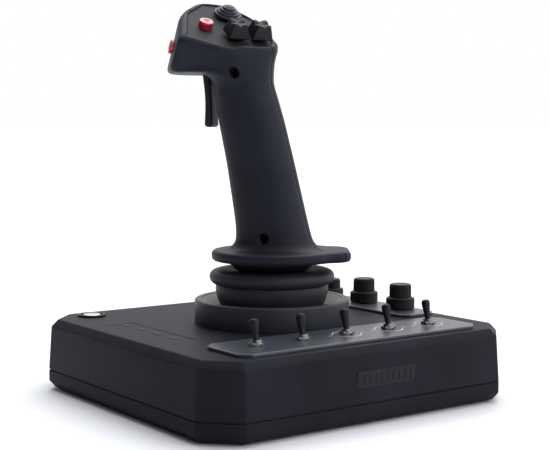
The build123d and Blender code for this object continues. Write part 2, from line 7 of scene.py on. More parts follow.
# %% load the frame
import bpy
import numpy as np
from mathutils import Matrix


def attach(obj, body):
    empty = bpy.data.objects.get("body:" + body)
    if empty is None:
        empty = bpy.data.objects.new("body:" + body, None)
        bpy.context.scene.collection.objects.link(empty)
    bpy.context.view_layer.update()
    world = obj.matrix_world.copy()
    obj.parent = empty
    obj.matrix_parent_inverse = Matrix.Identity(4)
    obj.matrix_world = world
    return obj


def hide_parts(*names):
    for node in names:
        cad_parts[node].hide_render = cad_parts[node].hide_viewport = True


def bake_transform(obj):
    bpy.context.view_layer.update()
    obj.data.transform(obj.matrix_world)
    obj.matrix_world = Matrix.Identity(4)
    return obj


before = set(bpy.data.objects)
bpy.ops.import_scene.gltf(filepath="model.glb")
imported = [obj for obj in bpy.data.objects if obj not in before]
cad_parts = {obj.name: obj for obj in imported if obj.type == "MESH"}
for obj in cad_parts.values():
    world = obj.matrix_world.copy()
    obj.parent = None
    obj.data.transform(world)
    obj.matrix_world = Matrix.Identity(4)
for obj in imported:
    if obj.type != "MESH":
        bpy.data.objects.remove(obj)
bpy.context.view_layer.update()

MM = 0.001

# %% [markdown]
# The camera stands at the left front of the desk, a little above the middle of the grip, so that the top
# of the base is seen at a low angle and the head from slightly below. A long lens keeps the upright edges
# nearly parallel.

# %% camera
from mathutils import Vector

CAMERA_AT = Vector((-0.4272, -0.5957, 0.1587))
LOOK = Vector((0.58285, 0.80849, -0.08140))
camera_data = bpy.data.cameras.new("desk_camera")
camera_data.sensor_width = 36.0
camera_data.lens = 82.01
camera = bpy.data.objects.new("desk_camera", camera_data)
bpy.context.scene.collection.objects.link(camera)
camera.location = CAMERA_AT
camera.rotation_euler = LOOK.to_track_quat("-Z", "Y").to_euler()
bpy.context.scene.camera = camera

# %% [markdown]
# Colours are picked as screen values. The shader wants linear light, so one function converts them.

# %% colour and node helpers
def linear(hex_colour):
    """Linear red, green, blue of an sRGB hex colour: c/12.92 below 0.04045, else ((c+0.055)/1.055)^2.4."""
    c = np.array([int(hex_colour[i:i + 2], 16) for i in (1, 3, 5)]) / 255.0
    c = np.where(c <= 0.04045, c / 12.92, ((c + 0.055) / 1.055) ** 2.4)
    return (*c.tolist(), 1.0)


def add_node(tree, kind, **values):
    """A node of this kind: settings as keywords, socket values as a dictionary in `sockets`."""
    node = tree.nodes.new(kind)
    for socket, value in values.pop("sockets", {}).items():
        node.inputs[socket].default_value = value
    for key, value in values.items():
        setattr(node, key, value)
    return node


def start_material(name):
    material = bpy.data.materials.new(name)
    material.use_nodes = True
    tree = material.node_tree
    shader = tree.nodes["Principled BSDF"]
    coords = add_node(tree, "ShaderNodeTexCoord")
    return material, tree, shader, coords


# %% [markdown]
# Moulded plastic is never one flat colour. The tool is spark-eroded, so the skin has a fine pebble of
# about a third of a millimetre, and handling leaves slightly shinier clouds a few centimetres across.
# Paint and rubber are the same idea with other sizes, so one function serves them all: a fine noise
# drives the bump and a little of the roughness, and a broad noise drifts the colour.

# %% grained finishes
ROUGH_SPREAD = 0.08     # how far the roughness drifts either side of its mean


def grained(name, dark, light, rough, grain_mm, bump, cloud_mm=30.0, specular=0.24):
    material, tree, shader, coords = start_material(name)
    fine = add_node(tree, "ShaderNodeTexNoise",
                    sockets={"Scale": 1000.0 / grain_mm, "Detail": 3.0, "Roughness": 0.6})
    broad = add_node(tree, "ShaderNodeTexNoise", sockets={"Scale": 1000.0 / cloud_mm, "Detail": 4.0})
    for noise in (fine, broad):
        tree.links.new(coords.outputs["Object"], noise.inputs["Vector"])
    ramp = add_node(tree, "ShaderNodeValToRGB")
    ramp.color_ramp.elements[0].position = 0.35
    ramp.color_ramp.elements[0].color = linear(dark)
    ramp.color_ramp.elements[1].position = 0.68
    ramp.color_ramp.elements[1].color = linear(light)
    tree.links.new(broad.outputs["Fac"], ramp.inputs["Fac"])
    tree.links.new(ramp.outputs["Color"], shader.inputs["Base Color"])
    spread = add_node(tree, "ShaderNodeMapRange",
                      sockets={"To Min": rough - ROUGH_SPREAD, "To Max": rough + ROUGH_SPREAD})
    mix = add_node(tree, "ShaderNodeMath", operation="MULTIPLY_ADD", sockets={1: 0.5})
    tree.links.new(fine.outputs["Fac"], mix.inputs[0])
    half = add_node(tree, "ShaderNodeMath", operation="MULTIPLY", sockets={1: 0.5})
    tree.links.new(broad.outputs["Fac"], half.inputs[0])
    tree.links.new(half.outputs[0], mix.inputs[2])
    tree.links.new(mix.outputs[0], spread.inputs["Value"])
    tree.links.new(spread.outputs["Result"], shader.inputs["Roughness"])
    relief = add_node(tree, "ShaderNodeBump", sockets={"Strength": bump, "Distance": 0.0002})
    tree.links.new(fine.outputs["Fac"], relief.inputs["Height"])
    tree.links.new(relief.outputs["Normal"], shader.inputs["Normal"])
    shader.inputs["Specular IOR Level"].default_value = specular
    return material


shell_plastic = grained("satin_shell_plastic", "#1a1b21", "#212229", 0.5, 0.45, 0.2, specular=0.07)
pan_plastic = grained("satin_pan_plastic", "#191a1f", "#1f2026", 0.52, 0.45, 0.2, specular=0.07)
panel_paint = grained("powder_coated_panel", "#2d2f38", "#353742", 0.34, 0.3, 0.3, specular=0.7)
grip_plastic = grained("fine_grained_grip", "#1c1d25", "#23252e", 0.5, 0.38, 0.3, specular=0.14)
plate_plastic = grained("matt_face_plate", "#101113", "#151618", 0.62, 0.3, 0.3)
control_plastic = grained("matt_control_plastic", "#0e0f11", "#131417", 0.42, 0.3, 0.25)
trim_plastic = grained("blue_grey_hat_plastic", "#24252f", "#2c2e3a", 0.4, 0.3, 0.2)
boot_rubber = grained("moulded_boot_rubber", "#22242b", "#292b33", 0.5, 0.6, 0.3, cloud_mm=18.0)
foot_rubber = grained("soft_foot_rubber", "#0a0a0b", "#0f0f11", 0.8, 0.8, 0.4)
collar_paint = grained("satin_collar_paint", "#2a2b33", "#313239", 0.4, 0.35, 0.2)
cone_plastic = grained("matt_black_cone", "#121216", "#17181c", 0.6, 0.35, 0.3)
print("finishes", len(bpy.data.materials))

# %% [markdown]
# Metals inside and on the toggles: turned parts carry rings about their axis, plated parts are nearly
# smooth. A stretched noise gives the brushed lines, and its height also nudges the roughness.

# %% metal, gloss and board finishes
STRETCH = (1.0, 1.0, 14.0)


def metal(name, colour, rough, line_mm=0.25, bump=0.15):
    material, tree, shader, coords = start_material(name)
    mapping = add_node(tree, "ShaderNodeMapping", sockets={"Scale": STRETCH})
    lines = add_node(tree, "ShaderNodeTexNoise",
                     sockets={"Scale": 1000.0 / line_mm / max(STRETCH), "Detail": 2.0})
    tree.links.new(coords.outputs["Object"], mapping.inputs["Vector"])
    tree.links.new(mapping.outputs["Vector"], lines.inputs["Vector"])
    spread = add_node(tree, "ShaderNodeMapRange", sockets={"To Min": rough - 0.07, "To Max": rough + 0.1})
    tree.links.new(lines.outputs["Fac"], spread.inputs["Value"])
    tree.links.new(spread.outputs["Result"], shader.inputs["Roughness"])
    relief = add_node(tree, "ShaderNodeBump", sockets={"Strength": bump, "Distance": 0.00008})
    tree.links.new(lines.outputs["Fac"], relief.inputs["Height"])
    tree.links.new(relief.outputs["Normal"], shader.inputs["Normal"])
    shader.inputs["Base Color"].default_value = linear(colour)
    shader.inputs["Metallic"].default_value = 1.0
    return material


def gloss(name, dark, light):
    """Clear-coated moulded plastic: faint depth in the colour, a hard coat on top."""
    material, tree, shader, coords = start_material(name)
    noise = add_node(tree, "ShaderNodeTexNoise", sockets={"Scale": 420.0, "Detail": 2.0})
    tree.links.new(coords.outputs["Object"], noise.inputs["Vector"])
    blend = add_node(tree, "ShaderNodeMix", data_type="RGBA")
    blend.inputs["A"].default_value = linear(dark)
    blend.inputs["B"].default_value = linear(light)
    tree.links.new(noise.outputs["Fac"], blend.inputs["Factor"])
    tree.links.new(blend.outputs["Result"], shader.inputs["Base Color"])
    shader.inputs["Roughness"].default_value = 0.16
    shader.inputs["Coat Weight"].default_value = 0.6
    shader.inputs["Coat Roughness"].default_value = 0.06
    return material


red_gloss = gloss("gloss_red_button", "#a80c26", "#c01430")
lens_gloss = grained("smoked_lamp_lens", "#08080a", "#0d0d10", 0.5, 0.3, 0.05)
nickel = metal("bright_nickel", "#8f8e8b", 0.3)
polished = metal("polished_button_metal", "#c4c5ca", 0.2, bump=0.05)
zinc = metal("dark_zinc_plate", "#5c5d61", 0.42, line_mm=0.5)
# The grip screws are drawn nearly black so that their bores read as dark holes: painted shade.
bore_shade_screw_metal = metal("screw_painted_bore_shade", "#1b1b1d", 0.5)
turned_aluminium = metal("turned_aluminium", "#a9abb0", 0.34)
bronze = metal("sintered_bronze", "#a9803f", 0.45, line_mm=0.4)
board_mask = grained("green_solder_mask", "#0c3a1e", "#115028", 0.35, 0.5, 0.1, cloud_mm=8.0)
white_print = grained("white_pad_print", "#c9cbd2", "#dcdee4", 0.6, 0.2, 0.1, cloud_mm=4.0)

# %% [markdown]
# Every new piece is a grid of points computed as one array, then turned into quads. These helpers join
# the grid's rows, put the arrays into a mesh, and say which body the piece rides on and which exact part
# it stands for.

# %% mesh helpers
def grid_quads(rows, cols, close_rows=False):
    """Quads between neighbouring points of a rows x cols grid. Each row is a closed ring, and close_rows also
    joins the last row to the first."""
    i = np.arange(rows if close_rows else rows - 1)[:, None]
    j = np.arange(cols)[None, :]
    a = i * cols + j
    b = i * cols + (j + 1) % cols
    c = ((i + 1) % rows) * cols + (j + 1) % cols
    d = ((i + 1) % rows) * cols + j
    return np.stack([a, b, c, d], -1).reshape(-1, 4)


def piece(name, points, faces, body, material, stands_for=(), smooth=True):
    """One mesh object from points in millimetres; faces is an index array or a list of them."""
    groups = faces if isinstance(faces, list) else [faces]
    mesh = bpy.data.meshes.new(name)
    mesh.from_pydata((np.asarray(points) * MM).tolist(), [], [f for g in groups for f in g.tolist()])
    mesh.polygons.foreach_set("use_smooth", np.full(len(mesh.polygons), smooth))
    mesh.update()
    mesh.materials.append(material)
    obj = bpy.data.objects.new(name, mesh)
    bpy.context.scene.collection.objects.link(obj)
    if body:
        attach(obj, body)
    if stands_for:
        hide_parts(*stands_for)
    return obj


def soften(corners, radii, steps=5):
    """Outline with rounded corners. Each corner c becomes a quadratic curve from a to b, the points on its
    two sides at the radius from it: p(t) = (1-t)^2 a + 2t(1-t) c + t^2 b."""
    corners = np.asarray(corners, float)
    out = [corners[0]]
    t = np.linspace(0, 1, steps)[:, None]
    for k in range(1, len(corners) - 1):
        c = corners[k]
        back, on = corners[k - 1] - c, corners[k + 1] - c
        r = min(radii[k] if np.ndim(radii) else radii, 0.45 * np.linalg.norm(back), 0.45 * np.linalg.norm(on))
        a = c + back / np.linalg.norm(back) * r
        b = c + on / np.linalg.norm(on) * r
        out.extend((1 - t) ** 2 * a + 2 * t * (1 - t) * c + t ** 2 * b)
    out.append(corners[-1])
    return np.array(out)


def turned_surface(profile, around=96):
    """Surface of revolution: profile point (r, z) becomes (r cos a, r sin a, z) for a from 0 to 2 pi.
    A profile end on the axis becomes one point with a fan round it, so the pole is closed."""
    profile = np.asarray(profile, float)
    low_pole, high_pole = profile[0, 0] < 1e-6, profile[-1, 0] < 1e-6
    rings = profile[1 if low_pole else 0:len(profile) - (1 if high_pole else 0)]
    a = np.linspace(0, 2 * np.pi, around, endpoint=False)
    height = np.repeat(rings[:, 1:], around, 1)
    points = np.stack([rings[:, :1] * np.cos(a), rings[:, :1] * np.sin(a), height], -1).reshape(-1, 3)
    faces = [grid_quads(len(rings), around)]
    j = np.arange(around)
    if low_pole:
        faces.append(np.stack([np.full(around, len(points)), (j + 1) % around, j], -1))
        points = np.vstack([points, [[0, 0, profile[0, 1]]]])
    if high_pole:
        last = (len(rings) - 1) * around
        faces.append(np.stack([np.full(around, len(points)), last + j, last + (j + 1) % around], -1))
        points = np.vstack([points, [[0, 0, profile[-1, 1]]]])
    return points, faces


def capped(rings, low, high):
    """Rings of equal length joined by quads, with a fan from each end ring to a centre point."""
    around, points = len(rings[0]), np.vstack(rings + [np.array([low, high], float)])
    n, j = len(points) - 2, np.arange(around)
    faces = [grid_quads(len(rings), around), np.stack([np.full(around, n), (j + 1) % around, j], -1)]
    faces.append(np.stack([np.full(around, n + 1), n - around + j, n - around + (j + 1) % around], -1))
    return points, faces


def unite(parts):
    """Several (points, faces) surfaces as one, with each part's indices shifted past the points before it."""
    points, faces, n = [], [], 0
    for p, groups in parts:
        points.append(p)
        faces += [f + n for f in groups]
        n += len(p)
    return np.vstack(points), faces


print("helpers ready")

# %% [markdown]
# The base is two mouldings with the same outline, a rectangle with its corners cut at 45 degrees. A
# moulded edge is never sharp: the side walls turn into the cut corners on a 1 mm radius, and the top
# chamfer is eased top and bottom, which is what gives the thin bright line round the top. So the shell is
# one profile of (inset, height) points carried round the outline.

# %% outline of the base
BASE_HALF = (105.0, 100.0)
CORNER_CUT = 18.0
CORNER_ROUND = 1.1
EACH_CUT = 2 - np.sqrt(2)   # how much shorter a 45 degree corner gets for each millimetre of inset
TOP_Z = 42.0
CEILING_Z = 39.0            # inner face of the top
PANEL_Z = 43.8              # top face of the two control panels
CUT_FROM, CUT_TO = 36, 44   # heights that a cut through the top runs between
TOGGLE_X = (-60, -30, 0, 30, 60)
TOGGLE_Y = -70
KNOB_X = 86
MODE_AT = (-77, 80, 0)
LAMP_X = -78.3
LAMP_Y = (-17.6, 0.1, 17.8, 35.5)


def rounded_loop(corners, radius, steps=5):
    """Closed outline with each corner replaced by a quadratic curve starting and ending `radius` from it."""
    c = np.asarray(corners, float)
    back, on = np.roll(c, 1, 0) - c, np.roll(c, -1, 0) - c
    a = c + back / np.linalg.norm(back, axis=1)[:, None] * radius
    b = c + on / np.linalg.norm(on, axis=1)[:, None] * radius
    t = np.linspace(0, 1, steps)[None, :, None]
    return ((1 - t) ** 2 * a[:, None] + 2 * t * (1 - t) * c[:, None] + t ** 2 * b[:, None]).reshape(-1, 2)


def cut_rectangle(w, d, cut):
    """The eight corners of a rectangle of half sizes w and d with its corners cut off."""
    return [(-w, -d + cut), (-w + cut, -d), (w - cut, -d), (w, -d + cut),
            (w, d - cut), (w - cut, d), (-w + cut, d), (-w, d - cut)]


def base_ring(inset, z):
    cut = CORNER_CUT - inset * EACH_CUT
    loop = rounded_loop(cut_rectangle(BASE_HALF[0] - inset, BASE_HALF[1] - inset, cut), CORNER_ROUND)
    return np.column_stack([loop, np.full(len(loop), z)])


BASE_ANGLES = np.arctan2(base_ring(6, 0)[:, 1], base_ring(6, 0)[:, 0])


def base_circle(r, z):
    return np.column_stack([r * np.cos(BASE_ANGLES), r * np.sin(BASE_ANGLES), np.full(len(BASE_ANGLES), z)])


def box_solid(x, y, z0, z1, w, d):
    """Corners and sides of an upright block."""
    s = np.array([(-1, -1), (1, -1), (1, 1), (-1, 1)]) * 0.5 * (w, d) + (x, y)
    points = np.vstack([np.column_stack([s, np.full(4, z)]) for z in (z0, z1)])
    sides = [(0, 3, 2, 1), (4, 5, 6, 7), (0, 1, 5, 4), (1, 2, 6, 5), (2, 3, 7, 6), (3, 0, 4, 7)]
    return points, [np.array(sides)]


def rod_solid(r, z0, z1, x=0.0, y=0.0, around=48):
    points, faces = turned_surface([(0, z0), (r, z0), (r, z1), (0, z1)], around)
    return points + (x, y, 0), faces


def carve(obj, tool, operation):
    """Cuts or joins a closed tool shape, then keeps the result as plain mesh with its sharp edges marked."""
    points, faces = tool
    mesh = bpy.data.meshes.new("tool")
    mesh.from_pydata((points * MM).tolist(), [], [f for g in faces for f in g.tolist()])
    cutter = bpy.data.objects.new("tool", mesh)
    bpy.context.scene.collection.objects.link(cutter)
    modifier = obj.modifiers.new("carve", "BOOLEAN")
    modifier.operation, modifier.solver, modifier.object = operation, "EXACT", cutter
    result = bpy.data.meshes.new_from_object(obj.evaluated_get(bpy.context.evaluated_depsgraph_get()))
    obj.modifiers.clear()
    old, obj.data = obj.data, result
    bpy.data.meshes.remove(old)
    bpy.data.objects.remove(cutter)
    bpy.data.meshes.remove(mesh)
    result.polygons.foreach_set("use_smooth", np.full(len(result.polygons), True))
    result.set_sharp_from_angle(angle=np.radians(32))


print("outline points", len(BASE_ANGLES))

# %% [markdown]
# The upper shell: outer wall, chamfer, top, the round opening for the stick, and the inner faces 3 mm
# inside. The openings for the switches, knobs, lamps, mode button, socket and nameplate are then cut, and
# so is the shallow line that frames the lamps.

# %% base_upper_shell
wall = soften([(3.2, 11.8), (0.62, 11.8), (0.62, 12.6), (0.02, 12.6), (1.6, 37.8), (5.4, TOP_Z),
               (11.0, TOP_Z)],
              [0, 0.2, 0.15, 0.3, 0.6, 0.6, 0])
rings = [base_ring(i, z) for i, z in wall]
opening = [(40, TOP_Z), (28.1, TOP_Z), (27.6, 41.8), (27.5, 41.4), (27.5, CEILING_Z), (40, CEILING_Z)]
rings += [base_circle(r, z) for r, z in opening]
rings += [base_ring(i, z) for i, z in ((11, CEILING_Z), (5.6, CEILING_Z), (3.25, 12.0))]
shell_faces = grid_quads(len(rings), len(BASE_ANGLES), close_rows=True)
shell = piece("shell_upper", np.vstack(rings), shell_faces, "base", shell_plastic,
              ["base_upper_shell"])
openings = [box_solid(0, TOGGLE_Y, CUT_FROM, CUT_TO, 142, 20), box_solid(85, 18.5, CUT_FROM, CUT_TO, 16, 90)]
openings.append(rod_solid(7.0, CUT_FROM, CUT_TO, *MODE_AT[:2]))
openings.append(box_solid(0, BASE_HALF[1], 15.3, 19.5, 9.6, 20))        # socket, at the rear
openings += [box_solid(LAMP_X, y, CUT_FROM, CUT_TO, 2.4, 6.0) for y in LAMP_Y]
openings.append(box_solid(4, -BASE_HALF[1], 20, 29.5, 40.4, 3.0))       # seat of the nameplate
engraved = [box_solid(-71, 6, 41.6, CUT_TO, 0.7, 70.0), box_solid(-78.9, 41, 41.6, CUT_TO, 15.0, 0.7)]
carve(shell, unite(openings + engraved), "DIFFERENCE")
print("upper shell faces", len(shell.data.polygons))

# %% [markdown]
# The lower pan closes the base. Four posts take the case screws from below, four bosses are tapped so the
# base can be bolted to a rig, and four pillars hold the circuit board. The left lower edge has two finger
# notches.

# %% base_lower_pan
lip = soften([(11, 1.2), (3.5, 1.2), (0.0, 5.5), (0.0, 11.75), (3.6, 11.75), (3.6, 14.6), (4.5, 14.6),
              (4.5, 3.7), (11, 3.7)],
             [0, 0.6, 0.6, 0.3, 0.1, 0.2, 0.2, 0.5, 0])
rings = [base_circle(40, 1.2)] + [base_ring(i, z) for i, z in lip] + [base_circle(40, 3.7)]
points, faces = capped(rings, (0, 0, 1.2), (0, 0, 3.7))
pan = piece("pan_lower", points, faces, "base", pan_plastic, ["base_lower_pan"])
FOUR = [(-1, -1), (1, -1), (1, 1), (-1, 1)]
SCREW_X, SCREW_Y = 92, 78       # case screws
DESK_X, DESK_Y = 70, 45         # tapped holes for a desk plate
carve(pan, unite([rod_solid(4.5, 1.6, 13.0, SCREW_X * i, SCREW_Y * j) for i, j in FOUR]
                 + [rod_solid(5.0, 1.6, 8.2, DESK_X * i, DESK_Y * j) for i, j in FOUR]
                 + [rod_solid(3.2, 2.0, 14.0, 34 * i, 76 + 10 * j) for i, j in FOUR]), "UNION")
carve(pan, unite([rod_solid(1.65, 3.9, 14.0, SCREW_X * i, SCREW_Y * j) for i, j in FOUR]
                 + [rod_solid(2.1, 0.0, 9.0, DESK_X * i, DESK_Y * j) for i, j in FOUR]
                 + [box_solid(-105, y, 0, 2.4, 16, 17) for y in (29, -64)]), "DIFFERENCE")
carve(pan, unite([rod_solid(3.05, 0.0, 4.4, SCREW_X * i, SCREW_Y * j) for i, j in FOUR]), "DIFFERENCE")
print("pan faces", len(pan.data.polygons))

# %% [markdown]
# Each control panel is a 1.8 mm plate, powder coated. The coat builds up on the edges, so they are drawn
# with a 0.5 mm round rather than a knife edge.

# %% control panels
def plate(name, x, y, w, d, cut, z0, z1, node):
    edge = soften([(6, z0), (0.0, z0), (0.0, z1), (6, z1)], [0, 0.15, 0.55, 0])
    loops = [rounded_loop(cut_rectangle(w / 2 - i, d / 2 - i, cut - i * EACH_CUT), 0.8) for i, _ in edge]
    rings = [np.column_stack([loop, np.full(len(loop), z)]) for loop, (_, z) in zip(loops, edge)]
    points, faces = capped(rings, (0, 0, z0), (0, 0, z1))
    return piece(name, points + (x, y, 0), faces, "base", panel_paint, [node])


plate("panel_toggles", 0, -70.5, 164, 39, 6, TOP_Z, PANEL_Z, "toggle_panel")
plate("panel_knobs", 83, 17, 27, 112, 5, TOP_Z, PANEL_Z, "knob_panel")
print("panels done")

# %% [markdown]
# The pad-printed marks on the toggle panel are generic: a broken ring round three of the switches, with a
# short bar either side. Ink stands only a few hundredths of a millimetre proud, so each mark is a very
# thin flat strip.

# %% printed marks
def arc_strip(x, y, r0, r1, a0, a1, z, steps=24):
    a = np.radians(np.linspace(a0, a1, steps))
    ring = [np.column_stack([x + r * np.cos(a), y + r * np.sin(a), np.full(steps, h)])
            for r, h in ((r0, z - 0.03), (r0, z + 0.03), (r1, z + 0.03), (r1, z - 0.03))]
    points = np.stack(ring, 1).reshape(-1, 3)
    faces = [grid_quads(steps, 4)]
    faces += [np.array([[0, 1, 2, 3]]), np.array([[3, 2, 1, 0]]) + 4 * (steps - 1)]
    return points, faces


marks = []
for x in (0, 30, 60):
    for a0 in (20, 200):
        marks.append(arc_strip(x, TOGGLE_Y, 7.6, 8.2, a0, a0 + 140, 43.83))
    for side in (-1, 1):
        marks.append(box_solid(x + side * 11.0, TOGGLE_Y, PANEL_Z, 43.86, 2.6, 0.6))
points, faces = unite(marks)
piece("panel_print", points, faces, "base", white_print, smooth=False)
print("marks", len(marks))

# %% [markdown]
# Miniature toggle switches are all alike: a threaded bushing of about 6 mm, a hexagon nut, and a bat
# lever that swings in the bushing on a ball. The thread is cut as a small wave of 0.5 mm pitch down the
# bushing.

# %% toggle switches
z = np.linspace(PANEL_Z, 46.7, 40)
thread = np.column_stack([3.0 - 0.12 * (1 - np.cos(2 * np.pi * z / 0.5)) / 2, z])
mouth = [(2.85, 46.95), (2.3, 47.0), (2.2, 46.9), (2.2, 42.6), (0, 42.4)]
bushing = np.vstack([[(0, 41.0), (3.0, 41.0)], thread, mouth])
cases = []
for x in TOGGLE_X:
    points, faces = turned_surface(bushing, 40)
    cases.append((points + (x, TOGGLE_Y, 0), faces))
    cases.append(box_solid(x, TOGGLE_Y, 32.0, 41.9, 8, 13))
    cases += [box_solid(x, TOGGLE_Y + 4 * i, 28.5, 32.0, 2, 0.8) for i in (-1, 0, 1)]
points, faces = unite(cases)
obj = piece("switch_bodies", points, faces, "base", nickel, ["toggle_cases"])
obj.data.set_sharp_from_angle(angle=np.radians(35))


def hexagon_nut(across, bore, z0, z1, around=96):
    """A nut: r(a, z) is the smaller of the hexagon, across/cos(a folded to 30 degrees), and the cone that
    turns its corners off at both faces. `across` is the distance from the axis to a flat."""
    a = np.linspace(0, 2 * np.pi, around, endpoint=False)
    hexagon = across / np.cos((a + np.pi / 6) % (np.pi / 3) - np.pi / 6)
    profile = [(bore, z0), (None, z0), (None, z0 + 0.35), (None, z1 - 0.45), (None, z1), (bore, z1)]
    cone = {z0: across * 1.03, z0 + 0.35: across * 1.2, z1 - 0.45: across * 1.2, z1: across * 1.0}
    rows = [np.full(around, r) if r else np.minimum(hexagon, cone[h]) for r, h in profile]
    points = [np.column_stack([r * np.cos(a), r * np.sin(a), np.full(around, h)])
              for r, (_, h) in zip(rows, profile)]
    return np.vstack(points), [grid_quads(len(profile), around, close_rows=True)]


nuts = []
for x in TOGGLE_X:
    points, faces = hexagon_nut(3.72, 2.95, 43.82, 45.6)
    nuts.append((points + (x, TOGGLE_Y, 0), faces))
points, faces = unite(nuts)
obj = piece("switch_nuts", points, faces, "base", nickel, ["toggle_nuts"])
obj.data.set_sharp_from_angle(angle=np.radians(28))

LEVER_PIVOT_Z = 44.8
lean = np.radians(12)
bat = soften([(0, -2.15), (1.5, -1.6), (2.15, 0), (1.75, 1.2), (1.5, 2.4), (1.6, 4.6), (1.85, 6.2),
              (2.2, 8.4), (2.45, 10.6), (2.3, 12.1), (1.3, 12.95), (0, 13.05)], 0.8, 5)
for n, x in enumerate(TOGGLE_X):
    points, faces = turned_surface(bat, 40)
    across, up = points[:, 1], points[:, 2]
    points = np.column_stack([points[:, 0] + x, across * np.cos(lean) + up * np.sin(lean) + TOGGLE_Y,
                              up * np.cos(lean) - across * np.sin(lean) + LEVER_PIVOT_Z])
    piece("bat_%d" % (n + 1), points, faces, "toggle_%d" % (n + 1), control_plastic,
          ["toggle_lever_%d" % (n + 1)])
print("toggles", len(TOGGLE_X))

# %% [markdown]
# The knobs are moulded with straight ribs so that they can be turned by touch. The ribs are a wave in the
# radius, 36 round the skirt and 30 round the cap, that fades out at the top and bottom edges.

# %% knobs
def ribbed(profile, ribs, depth, around):
    """Turned surface whose radius is r - depth * weight * (1 - cos(ribs * a)) / 2. Each profile row is
    (r, z, weight)."""
    profile = np.asarray(profile, float)
    points, faces = turned_surface(profile[:, :2], around)
    weight = np.concatenate([np.repeat(profile[1:-1, 2], around), profile[[0, -1], 2]])
    a = np.arctan2(points[:, 1], points[:, 0])
    r = np.hypot(points[:, 0], points[:, 1])
    scale = np.where(r > 1e-6, 1 - depth * weight * (1 - np.cos(ribs * a)) / 2 / np.maximum(r, 1e-6), 1.0)
    points[:, :2] *= scale[:, None]
    return points, faces


KNOBS = ((-16.5, 15.2), (18.5, 15.2), (53.5, 11.5))     # place along the panel, height
KNOB_FOOT_Z = 44.3
DOT_R = 7.75                # the white dot's distance from the knob's axis
for n, (y, h) in enumerate(KNOBS):
    skirt_h = 7.0 * h / 15.2
    skirt = [(0, 0.02, 0), (8.5, 0.02, 0), (8.8, 0.3, 0.2), (8.8, 0.9, 1), (8.8, skirt_h - 1.4, 1),
             (8.7, skirt_h - 0.9, 0.4), (8.3, skirt_h - 0.4, 0), (7.6, skirt_h - 0.12, 0),
             (6.4, skirt_h, 0), (0, skirt_h, 0)]
    cap = [(0, skirt_h - 1.0, 0), (6.7, skirt_h - 1.0, 0), (6.8, skirt_h + 0.2, 1), (6.75, h - 2.0, 1),
           (6.6, h - 1.0, 0.7), (6.2, h - 0.35, 0), (5.5, h - 0.04, 0), (4.6, h, 0), (4.2, h - 0.25, 0),
           (0, h - 0.3, 0)]
    stem = turned_surface([(0, -6.3), (3.0, -6.3), (3.0, 0.5), (0, 0.5)], 32)
    points, faces = unite([ribbed(skirt, 36, 0.35, 288), ribbed(cap, 30, 0.4, 240), stem])
    knob = "knob_%d" % (n + 1)
    obj = piece("knob_body_%d" % (n + 1), points + (KNOB_X, y, KNOB_FOOT_Z), faces, knob,
                control_plastic, [knob])
    obj.data.set_sharp_from_angle(angle=np.radians(50))
    points, faces = turned_surface([(0, -0.3), (0.85, -0.3), (0.85, 0.05), (0.7, 0.12), (0, 0.14)], 24)
    side = np.radians(-40)
    points += (KNOB_X + DOT_R * np.cos(side), y + DOT_R * np.sin(side), KNOB_FOOT_Z + skirt_h - 0.12)
    piece("knob_dot_%d" % (n + 1), points, faces, knob, white_print)
print("knobs", len(KNOBS))

# %% [markdown]
# The mode button is a polished metal cap in a dark bezel. The bezel is a turned ring with a rounded lip.

# %% mode button
bezel = soften([(5.58, 32.0), (7.0, 32.0), (7.0, TOP_Z), (8.6, TOP_Z), (8.6, 43.2), (6.6, 43.2),
                (6.6, 41.4), (5.58, 41.4), (5.58, 32.0)], [0, 0.2, 0.1, 0.1, 0.7, 0.5, 0.2, 0.1, 0], 4)[:-1]
points = turned_surface(bezel, 72)[0]
piece("mode_ring", points + MODE_AT, grid_quads(len(bezel), 72, close_rows=True), "base",
      control_plastic, ["mode_bezel"])
button = soften([(0, 35.0), (5.5, 35.0), (5.5, 43.2), (3.0, 43.2), (0, 42.95)], [0, 0.2, 0.9, 2.5, 0], 6)
points, faces = turned_surface(button, 72)
piece("mode_cap", points + MODE_AT, faces, "mode_button", polished, ["mode_button"])
print("mode button done")

# %% [markdown]
# Round the stick the top rises in a turned collar. Its outer wall and rim are painted, and inside the rim
# a pale plastic funnel slopes down to the sleeve that holds the boot.

# %% collar
rim = soften([(42.6, TOP_Z), (45.5, TOP_Z), (45.5, 56.0), (41.0, 56.0), (41.0, 53.6), (42.6, 53.6),
              (42.6, TOP_Z)],
             [0, 0.2, 1.6, 0.7, 0.1, 0.1, 0], 6)[:-1]
points = turned_surface(rim, 160)[0]
piece("collar_ring", points, grid_quads(len(rim), 160, close_rows=True), "base",
      collar_paint, ["collar"])
funnel_plastic = grained("pale_funnel_plastic", "#6c6965", "#7b7874", 0.42, 0.25, 0.2)
funnel = soften([(41.0, 53.9), (41.0, 55.5), (40.2, 55.5), (31.5, 49.6), (29.5, 48.6), (29.5, TOP_Z),
                 (31.8, TOP_Z), (31.8, 47.0), (39.8, 53.9), (41.0, 53.9)],
                [0, 0.2, 0.6, 1.5, 0.8, 0.1, 0.1, 0.3, 0.1, 0], 5)[:-1]
points = turned_surface(funnel, 160)[0]
piece("collar_funnel", points, grid_quads(len(funnel), 160, close_rows=True), "base",
      funnel_plastic)
print("collar done")
